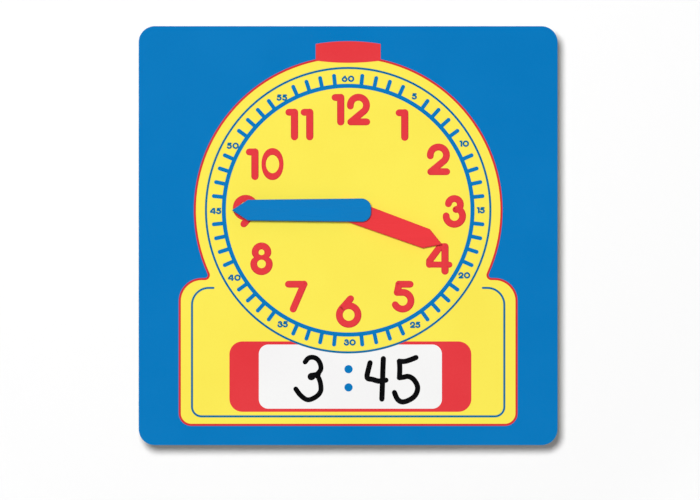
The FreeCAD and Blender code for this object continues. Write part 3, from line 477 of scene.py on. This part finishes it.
# Rolled spring steel and vulcanised fibre, the two washers inside the gearbox: one bright strip
# with rolling lines, the other a dull brown-grey ring like hard paper.
washerLooks = {
    "friction_washer": {"name": "rolledSpringSteel", "deep": "8f9296", "light": "b9bbbe",
                        "metallic": 1.0, "roughness": (0.25, 0.4), "grain": 0.3 * mm},
    "thrust_washer": {"name": "vulcanisedFibre", "deep": "3f3d3a", "light": "565350",
                      "metallic": 0.0, "roughness": (0.6, 0.8), "grain": 0.2 * mm},
}
washerGrain = {"stretch": 0.15, "depth": 0.01 * mm, "strength": 0.4}


def washerMaterial(look):
    material, tree = newMaterial(look["name"])
    place = addNode(tree, "TexCoord")
    along = addNode(tree, "Mapping", values={"Scale": (washerGrain["stretch"], 1, 1)},
                    links={"Vector": (place, "Object")})
    grain = addNode(tree, "TexNoise", values={"Scale": 1 / look["grain"], "Detail": 3.0},
                    links={"Vector": (along, 0)})
    colour = addNode(tree, "Mix", {"data_type": "RGBA"},
                     {6: linear(look["deep"]), 7: linear(look["light"])}, {0: (grain, 0)})
    gloss = addNode(tree, "MapRange", values={
        "To Min": look["roughness"][0], "To Max": look["roughness"][1],
    }, links={"Value": (grain, 0)})
    bump = addNode(tree, "Bump", values={
        "Strength": washerGrain["strength"], "Distance": washerGrain["depth"],
    }, links={"Height": (grain, 0)})
    surface = addNode(tree, "BsdfPrincipled", values={"Metallic": look["metallic"]},
                      links={"Base Color": (colour, 2), "Roughness": (gloss, 0),
                             "Normal": (bump, 0)})
    addNode(tree, "OutputMaterial", links={"Surface": (surface, 0)})
    return material


for washerName, washerLook in washerLooks.items():
    coat([washerName], washerMaterial(washerLook))
print("scene: gearbox and board coated")

# Dry-wipe marker on film: black, with paler streaks along the stroke where the tip ran dry.
markerInk = {
    "deep": "020203",
    "light": "131316",
    "streak": 0.3 * mm,
    "streakDepth": 0.01 * mm,
    "streakStrength": 0.4,
    "patch": 3 * mm,
    "dryRange": (0.22, 0.48),
    "roughness": 0.5,
    "specular": 0.04,
}


def markerMaterial():
    look = markerInk
    material, tree = newMaterial("dryWipeMarkerInk")
    place = addNode(tree, "TexCoord")
    streaks = addNode(tree, "TexNoise", values={"Scale": 1 / look["streak"], "Detail": 3.0},
                      links={"Vector": (place, "Object")})
    patches = addNode(tree, "TexNoise", values={"Scale": 1 / look["patch"], "Detail": 2.0},
                      links={"Vector": (place, "Object")})
    dryness = addNode(tree, "Math", {"operation": "MULTIPLY"},
                      links={0: (streaks, 0), 1: (patches, 0)})
    share = addNode(tree, "MapRange", values={
        "From Min": look["dryRange"][0], "From Max": look["dryRange"][1],
    }, links={"Value": (dryness, 0)})
    colour = addNode(tree, "Mix", {"data_type": "RGBA"},
                     {6: linear(look["deep"]), 7: linear(look["light"])}, {0: (share, 0)})
    bump = addNode(tree, "Bump", values={
        "Strength": look["streakStrength"], "Distance": look["streakDepth"],
    }, links={"Height": (streaks, 0)})
    ink = addNode(tree, "BsdfPrincipled", values={
        "Roughness": look["roughness"], "Specular IOR Level": look["specular"],
    }, links={"Base Color": (colour, 2), "Normal": (bump, 0)})
    addNode(tree, "OutputMaterial", links={"Surface": (ink, 0)})
    return material


# Numbers and writing

# A stroke is a list of points (across, up) or (across, up, share of the stroke's width).
numeralStroke = 2.0  # the hour numbers' full stroke, in millimetres
ringSteps = 45
arcStep = 8  # degrees
fewestArcSteps = 6
domeAngles = (28, 50, 68, 82)  # degrees from a stroke's end to the tip of its dome
pathSteps = 6  # between two points of a smooth path
mergeDistance = 0.001 * mm
closedWithin = 0.01 * mm


def arc(centreX, centreZ, radius, start, end, tall=1.0):
    count = max(fewestArcSteps, round(abs(end - start) / arcStep))
    angles = [math.radians(start + (end - start) * step / count) for step in range(count + 1)]
    return [(centreX + radius * math.cos(angle), centreZ + radius * tall * math.sin(angle))
            for angle in angles]


def ring(centreX, centreZ, radius, tall=1.0):
    return arc(centreX, centreZ, radius, 0, 360, tall)


def oval(halfWide, halfTall, sideShare):  # its sides are drawn with a thinner stroke
    angles = [math.tau * step / ringSteps for step in range(ringSteps + 1)]
    return [(halfWide * math.cos(angle), halfTall * math.sin(angle),
             1 - (1 - sideShare) * math.cos(angle) ** 2) for angle in angles]


def pinchedRing(centreZ, hole, pinch, pinchAt):  # thinner where it meets the other ring
    points = []
    for step in range(ringSteps + 1):
        angle = math.tau * step / ringSteps
        share = 1 - pinch * max(0.0, math.cos(angle - math.radians(pinchAt))) ** 2
        radius = hole + numeralStroke * share / 2
        points.append((radius * math.cos(angle), centreZ + radius * math.sin(angle), share))
    return points


# Each digit's strokes in millimetres about its middle. A stroke that ends where it began closes.
digitStrokes = {
    "0": [oval(2.41, 3.43, 0.63)],
    "1": [[(-0.74, 3.33), (0.75, 3.33)], [(0.75, 3.33), (0.75, -3.33)]],
    "2": [arc(0, 1.17, 2.2, 184, -44) + [(-2.03, -3.36)], [(-2.03, -3.36), (2.2, -3.36)]],
    "3": [arc(0, 1.86, 1.64, 170, -50) + [(0.5, 0.52)],
          [(0.5, 0.52)] + arc(0, -1.28, 2.24, 62, -180)],
    "4": [[(1.59, 3.3), (0.25, 3.3)], [(0.25, 3.3), (-2.62, -0.53)],
          [(-2.62, -0.53), (-2.67, -1.5)], [(-2.67, -1.56, 0.88), (2.73, -1.61, 0.88)],
          [(1.59, 3.3), (1.59, -3.35)]],
    "5": [[(-1.4, 3.4), (1.6, 3.4)], [(-1.4, 3.4), (-1.84, 1.19)],
          [(-1.84, 1.19)] + arc(-0.4, -1.09, 2.28, 90, -150)],
    "6": [[(0.48, 3.48), (-1.91, 0.78)], ring(0, -0.91, 2.55)],
    "7": [[(-2.15, 3.37), (2.02, 3.37)], [(2.02, 3.37), (-0.89, -3.36)]],
    "8": [pinchedRing(1.86, 0.74, 0.4, 270), pinchedRing(-1.31, 1.12, 0.4, 90)],
    "9": [[(-0.48, -3.48), (1.91, -0.78)], ring(0, 0.91, 2.55)],
}


def roundEnds(spots, radius):  # adds spots past both ends where the stroke narrows to a dome
    steps = [math.radians(angle) for angle in domeAngles]
    last, first = [], []
    for tip, end, before in ((last, -1, -2), (first, 0, 1)):
        place, share = spots[end]
        out = (place - spots[before][0]).normalized()
        for step in steps:
            tip.append((place + out * radius * share * math.sin(step), share * math.cos(step)))
    return first[::-1] + spots + last


def inkStrokes(name, strokes, width, rise, surface, material):
    curve = bpy.data.curves.new(name, "CURVE")
    curve.dimensions = "3D"
    curve.bevel_depth = width / 2
    curve.bevel_resolution = 3
    curve.use_fill_caps = True
    for points in strokes:
        spots = [(Vector(point[:2]), point[2] if len(point) > 2 else 1.0) for point in points]
        closed = (spots[0][0] - spots[-1][0]).length < closedWithin
        spots = spots[:-1] if closed else roundEnds(spots, width / 2)
        spline = curve.splines.new("POLY")
        spline.points.add(len(spots) - 1)
        spline.use_cyclic_u = closed
        for splinePoint, (spot, share) in zip(spline.points, spots):
            splinePoint.co = (spot.x, 0, spot.y, 1)
            splinePoint.radius = share
    drawn = bpy.data.objects.new(name + "_curve", curve)
    mesh = bpy.data.meshes.new_from_object(drawn)
    bpy.data.objects.remove(drawn)
    mesh.name = name
    flat = Matrix.Diagonal((1, rise / width, 1, 1))
    mesh.transform(Matrix.Translation((0, surface, 0)) @ flat)
    shape = bmesh.new()
    shape.from_mesh(mesh)
    bmesh.ops.remove_doubles(shape, verts=shape.verts, dist=mergeDistance)
    bmesh.ops.recalc_face_normals(shape, faces=shape.faces)
    for face in shape.faces:
        face.smooth = True
    shape.to_mesh(mesh)
    shape.free()
    mesh.materials.clear()
    mesh.materials.append(material)
    piece = bpy.data.objects.new(name, mesh)
    scene.collection.objects.link(piece)
    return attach(piece, "clock_body")


def placed(strokes, across, up, wide=1.0, tall=1.0):  # millimetres to metres, at its place
    return [[((x * wide + across) * mm, (z * tall + up) * mm, *share)
             for x, z, *share in points] for points in strokes]


hourNumbers = {
    "strokeWidth": numeralStroke * mm,
    "rise": 0.05 * mm,
    # number: the middle of each of its digits, from the hands' axis, in millimetres
    "places": {
        "1": [(14.69, 23.24)],
        "2": [(24.61, 13.86)],
        "3": [(28.97, -0.33)],
        "4": [(24.83, -13.26)],
        "5": [(15.25, -23.61)],
        "6": [(0.14, -27.68)],
        "7": [(-14.09, -23.57)],
        "8": [(-23.64, -13.35)],
        "9": [(-27.95, -0.23)],
        "10": [(-26.18, 12.55), (-20.64, 12.58)],
        "11": [(-15.39, 23.38), (-11.23, 23.38)],
        "12": [(-2.78, 27.42), (2.8, 27.45)],
    },
}
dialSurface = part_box("clock_print")[0].y
for number, places in hourNumbers["places"].items():
    strokes = []
    for digit, (across, up) in zip(number, places):
        strokes += placed(digitStrokes[digit], across, up)
    piece = inkStrokes("hour_number_" + number, strokes, hourNumbers["strokeWidth"],
                       hourNumbers["rise"], dialSurface, inks["redPrintUnderFilm"])
print("scene: hour numbers printed")

# The minute numbers have round noughts and wide digits.
roundNought = ring(0, 0, 2.9, 1.17)
smallDigits = {**digitStrokes, "0": [roundNought]}
minuteNumbers = {
    "every": 5,
    "strokeWidth": 0.52 * mm,
    "rise": 0.04 * mm,
    "radius": 36.12,
    "wide": 0.22,  # how far the hour numbers' strokes are scaled down
    "tall": 0.188,
    "gap": 0.2,
    "digitWidths": {"0": 1.64, "1": 0.66, "2": 1.3, "3": 1.3, "4": 1.5, "5": 1.3, "6": 1.48},
    # how far each number stands to the right of its even place on the circle, and above it
    "shifts": {
        "5": (0.04, -0.23), "10": (0.39, 0.09), "15": (0.1, -0.02), "20": (0.4, 0.28),
        "25": (0.26, 0.0), "30": (0.46, 0.05), "35": (0.23, 0.16), "40": (0.23, -0.36),
        "45": (0.0, -0.23), "50": (-0.16, -0.49), "55": (0.03, -0.56), "60": (-0.05, -0.27),
    },
}
for minute in range(minuteNumbers["every"], 60 + minuteNumbers["every"], minuteNumbers["every"]):
    number = str(minute)
    widths = [minuteNumbers["digitWidths"][digit] for digit in number]
    turn = math.tau * minute / 60
    right, above = minuteNumbers["shifts"][number]
    edge = right - (sum(widths) + minuteNumbers["gap"] * (len(number) - 1)) / 2
    strokes = []
    for digit, width in zip(number, widths):
        across = minuteNumbers["radius"] * math.sin(turn) + edge + width / 2
        up = minuteNumbers["radius"] * math.cos(turn) + above
        strokes += placed(smallDigits[digit], across, up, minuteNumbers["wide"],
                          minuteNumbers["tall"])
        edge += width + minuteNumbers["gap"]
    piece = inkStrokes("minute_number_" + number, strokes, minuteNumbers["strokeWidth"],
                       minuteNumbers["rise"], dialSurface, inks["blueLinePrintUnderFilm"])
print("scene: minute numbers printed")


def smoothPath(points):  # a smooth path through given points
    path = []
    spots = [Vector(point) for point in points]
    for index in range(len(spots) - 1):
        before, start = spots[max(index - 1, 0)], spots[index]
        end, after = spots[index + 1], spots[min(index + 2, len(spots) - 1)]
        for step in range(pathSteps):
            share = step / pathSteps
            path.append(tuple(0.5 * (2 * start + (end - before) * share
                                     + (2 * before - 5 * start + 4 * end - after) * share ** 2
                                     + (3 * start - before - 3 * end + after) * share ** 3)))
    return path + [tuple(spots[-1])]


# The time 3:45 written by hand in the window, in millimetres from the hands' axis. The tip
# pressed harder on the 4 and the 5, and left a blot in the middle of the 3.
writtenTime = {
    "strokeWidths": {"3": 1.44 * mm, "4": 1.54 * mm, "5": 1.52 * mm},
    "rise": 0.03 * mm,
    "3": [[(-11.72, -41.38), (-10.86, -40.38), (-9.69, -40.13), (-8.46, -40.62),
           (-7.64, -41.86), (-7.44, -43.25), (-7.95, -44.2), (-8.66, -44.86)],
          [(-8.13, -44.73, 1.0), (-8.91, -44.92, 1.1), (-9.98, -45.37, 1.55)],
          [(-8.66, -44.86), (-8.0, -45.84), (-7.51, -47.5), (-7.51, -49.35),
           (-8.6, -50.77), (-10.47, -51.68), (-11.74, -51.48), (-13.18, -50.28),
           (-14.27, -48.8)]],
    "4": [[(5.97, -41.67), (5.57, -43.26), (5.16, -45.08), (5.41, -45.92), (6.64, -46.16),
           (8.34, -46.62), (10.25, -46.38)],
          [(9.6, -40.55), (9.5, -42.69), (9.37, -46.78), (9.2, -51.48)]],
    "5": [[(18.46, -40.21), (16.87, -40.84), (15.39, -41.25), (13.98, -41.22)],
          [(13.98, -41.22), (14.08, -43.14), (14.0, -45.66)],
          [(14.0, -45.69), (15.05, -45.56), (16.41, -45.36), (17.78, -46.09),
           (18.8, -47.69), (18.88, -49.17), (18.12, -50.71), (16.64, -51.78),
           (14.82, -52.31), (13.46, -51.57), (12.64, -49.78)]],
}
marker = markerMaterial()
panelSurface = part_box("window_panel_print")[0].y
for digit, strokeWidth in writtenTime["strokeWidths"].items():
    strokes = placed([smoothPath(points) for points in writtenTime[digit]], 0, 0)
    piece = inkStrokes("written_" + digit, strokes, strokeWidth,
                       writtenTime["rise"], panelSurface, marker)
print("scene: time written")


# Wall, floor, camera and light

# A white wall that touches the gearbox shows the board's shadow. Only the camera in front sees
# it, so it doesn't shade the back, but it stops light from behind that the board's back would
# throw into that shadow (Diffuse Depth). Both sheets fade into the white backdrop from "whole"
# to "gone", measured from the hands' axis.
stageLook = {
    "wallGap": 0.3 * mm,
    "wallTurn": math.radians(0.3),  # so it doesn't show edge-on as a line in a side view
    "wallWide": 0.6,
    "wallTop": 0.4,
    "wallWhole": 0.088,
    "wallGone": 0.15,
    "floorLevel": -0.14,
    "floorSize": 2.0,
    "floorWhole": 0.15,
    "floorGone": 0.9,
    "paintGrain": 4 * mm,
    "roughness": (0.8, 0.9),
    "specular": 0.1,
}


def paintMaterial(name, hexColour, whole, gone, frontOnly):
    material, tree = newMaterial(name)
    place = addNode(tree, "TexCoord")
    grain = addNode(tree, "TexNoise", values={"Scale": 1 / stageLook["paintGrain"]},
                    links={"Vector": (place, "Object")})
    gloss = addNode(tree, "MapRange", values={
        "To Min": stageLook["roughness"][0], "To Max": stageLook["roughness"][1],
    }, links={"Value": (grain, 0)})
    paint = addNode(tree, "BsdfPrincipled", values={
        "Base Color": linear(hexColour), "Specular IOR Level": stageLook["specular"],
    }, links={"Roughness": (gloss, 0)})
    away = addNode(tree, "VectorMath", {"operation": "LENGTH"}, links={0: (place, "Object")})
    shown = addNode(tree, "MapRange", {"interpolation_type": "SMOOTHERSTEP"}, {
        "From Min": whole, "From Max": gone, "To Min": 1.0, "To Max": 0.0,
    }, {"Value": (away, "Value")})
    if frontOnly:
        light = addNode(tree, "LightPath")
        side = addNode(tree, "NewGeometry")
        front = addNode(tree, "Math", {"operation": "SUBTRACT", "use_clamp": True},
                        links={0: (light, "Is Camera Ray"), 1: (side, "Backfacing")})
        solid = addNode(tree, "Math", {"operation": "ADD", "use_clamp": True},
                        links={0: (front, 0), 1: (light, "Diffuse Depth")})
        shown = addNode(tree, "Math", {"operation": "MULTIPLY"},
                        links={0: (shown, 0), 1: (solid, 0)})
    clear = addNode(tree, "BsdfTransparent")
    surface = addNode(tree, "MixShader", links={0: (shown, 0), 1: (clear, 0), 2: (paint, 0)})
    addNode(tree, "OutputMaterial", links={"Surface": (surface, 0)})
    return material


def flatSheet(name, corners, material):
    shape = bmesh.new()
    shape.faces.new([shape.verts.new(corner) for corner in corners])
    mesh = bpy.data.meshes.new(name)
    shape.to_mesh(mesh)
    shape.free()
    mesh.materials.append(material)
    sheet = bpy.data.objects.new(name, mesh)
    scene.collection.objects.link(sheet)
    sheet.visible_diffuse = False  # it throws no light back, so the board's shadow stays dark


low, high = stageLook["floorLevel"], stageLook["wallTop"]
wallHalf = stageLook["wallWide"] / 2
wallSlant = wallHalf * math.tan(stageLook["wallTurn"])
wallLeft, wallRight = stageLook["wallGap"] + wallSlant, stageLook["wallGap"] - wallSlant
flatSheet("wall",
          [(-wallHalf, wallLeft, low), (wallHalf, wallRight, low),
           (wallHalf, wallRight, high), (-wallHalf, wallLeft, high)],
          paintMaterial("whiteWallPaint", "ffffff", stageLook["wallWhole"],
                        stageLook["wallGone"], True))
floorHalf = stageLook["floorSize"] / 2
flatSheet("floor",
          [(-floorHalf, -floorHalf, low), (floorHalf, -floorHalf, low),
           (floorHalf, floorHalf, low), (-floorHalf, floorHalf, low)],
          paintMaterial("paleFloorPaint", "fbfbfa", stageLook["floorWhole"],
                        stageLook["floorGone"], False))

# The picture shows the board square-on from far away.
view = {
    "sensor": 36,  # Blender's own default, in millimetres
    "nearest": 0.01,
    "farthest": 10,
    "distance": 1.6,
    "pictureWidth": 190.97 * mm,  # at the board's face
    "across": 0.5 * mm,
    "up": -10.86 * mm,
}
cameraData = bpy.data.cameras.new("camera")
cameraData.sensor_width = view["sensor"]
cameraData.lens = view["sensor"] * view["distance"] / view["pictureWidth"]
cameraData.clip_start, cameraData.clip_end = view["nearest"], view["farthest"]
camera = bpy.data.objects.new("camera", cameraData)
camera.location = (view["across"], dialSurface - view["distance"], view["up"])
camera.rotation_euler = (math.radians(90), 0, 0)
scene.collection.objects.link(camera)
scene.camera = camera

# A lamp's level is the share of a white card's full brightness that it gives, square-on. A disk
# of pi squared watts lights a card one metre away to the full.
lamps = {
    "key": {"place": (-0.115, -1.15, 0.158), "size": 0.25, "level": 0.84},
    "top": {"place": (0.1, 0.5, 1.3), "size": 0.9, "level": 0.4},
    "rearLeft": {"place": (-0.8, 0.9, 0.2), "size": 0.5, "level": 0.22},
    "rearRight": {"place": (0.75, 0.6, 0.55), "size": 0.4, "level": 0.75},
}
aim = Vector((0, -10 * mm, -7 * mm))  # the middle of the board
for name, lamp in lamps.items():
    place = Vector(lamp["place"])
    lampData = bpy.data.lights.new(name, "AREA")
    lampData.shape = "DISK"
    lampData.size = lamp["size"]
    lampData.energy = lamp["level"] * math.pi ** 2 * (place - aim).length_squared
    lampObject = bpy.data.objects.new(name, lampData)
    lampObject.location = place
    lampObject.rotation_euler = (aim - place).to_track_quat("-Z", "Y").to_euler()
    lampObject.visible_camera = False
    lampObject.visible_glossy = name != "key"  # as through a polarising filter: no glare spot
    scene.collection.objects.link(lampObject)

studio = {"light": 0.2, "backdrop": 1.0}
world = bpy.data.worlds.new("whiteStudio")
world.use_nodes = True
world.node_tree.nodes.clear()
scene.world = world
path = addNode(world.node_tree, "LightPath")
soft = addNode(world.node_tree, "Background",
               values={"Color": linear("ffffff"), "Strength": studio["light"]})
white = addNode(world.node_tree, "Background",
                values={"Color": linear("ffffff"), "Strength": studio["backdrop"]})
seen = addNode(world.node_tree, "Math", {"operation": "ADD"},
               links={0: (path, "Is Camera Ray"), 1: (path, "Is Glossy Ray")})
mirrored = addNode(world.node_tree, "Math", {"operation": "ADD", "use_clamp": True},
                   links={0: (seen, 0), 1: (path, "Is Transmission Ray")})
sky = addNode(world.node_tree, "MixShader",
              links={0: (mirrored, 0), 1: (soft, 0), 2: (white, 0)})
addNode(world.node_tree, "OutputWorld", links={"Surface": (sky, 0)})
scene.view_settings.view_transform = "Standard"
print("scene: lit")
